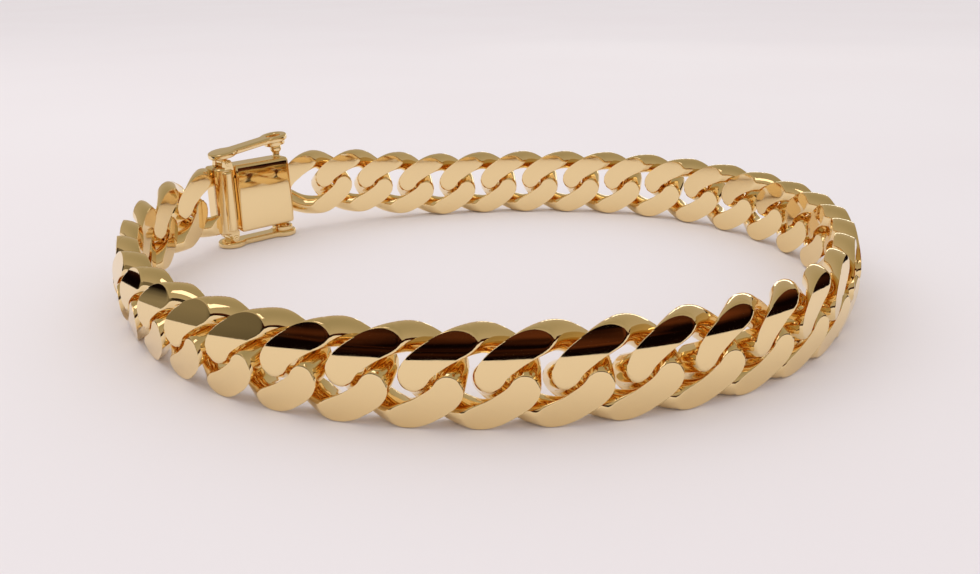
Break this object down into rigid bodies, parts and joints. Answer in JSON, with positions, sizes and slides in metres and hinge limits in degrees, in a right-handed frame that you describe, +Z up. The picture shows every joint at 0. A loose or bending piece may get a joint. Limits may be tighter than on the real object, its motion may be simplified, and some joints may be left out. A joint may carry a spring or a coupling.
{
  "type": "cuban link bracelet",
  "caption": "Cuban link bracelet: a closed loop of interlocking twisted, flattened gold links with a box clasp and two small swinging safety latches.",
  "frame": {"origin": "on the surface, under the middle of the loop's box", "axes": "+Z up along the band's height, +X to the right as the picture shows the loop, +Y away from the viewer; the clasp is at the back left"},
  "size_m": [0.0718, 0.0614, 0.0122],
  "materials": {
    "polished_gold": "high polish, yellow gold"
  },
  "bodies": {
    "root": {"clasp_tongue": "polished_gold", "clasp_box": "polished_gold", "link_02": "polished_gold", "link_03": "polished_gold", "link_04": "polished_gold", "link_05": "polished_gold", "link_06": "polished_gold", "link_07": "polished_gold", "link_08": "polished_gold", "link_09": "polished_gold", "link_10": "polished_gold", "link_11": "polished_gold", "link_12": "polished_gold", "link_13": "polished_gold", "link_14": "polished_gold", "link_15": "polished_gold", "link_16": "polished_gold", "link_17": "polished_gold", "link_18": "polished_gold", "link_19": "polished_gold", "link_20": "polished_gold", "link_21": "polished_gold", "link_22": "polished_gold", "link_23": "polished_gold", "link_24": "polished_gold", "link_25": "polished_gold", "link_26": "polished_gold", "link_27": "polished_gold", "link_28": "polished_gold", "link_29": "polished_gold", "link_30": "polished_gold", "link_31": "polished_gold", "link_32": "polished_gold", "link_33": "polished_gold", "link_34": "polished_gold", "link_35": "polished_gold", "link_36": "polished_gold"},
    "latch_top": {"latch_top": "polished_gold"},
    "latch_bottom": {"latch_bottom": "polished_gold"}
  },
  "joints": [
    {"name": "latch_top_hinge", "type": "hinge", "parent": "root", "child": "latch_top", "pos_m": [-0.0294, 0.0151, 0.0099], "axis": [0.6854, -0.7282, 0], "range_deg": [-8, 30]},
    {"name": "latch_bottom_hinge", "type": "hinge", "parent": "root", "child": "latch_bottom", "pos_m": [-0.0294, 0.0151, 0.0012], "axis": [-0.6854, 0.7282, 0], "range_deg": [0, 38]}
  ]
}
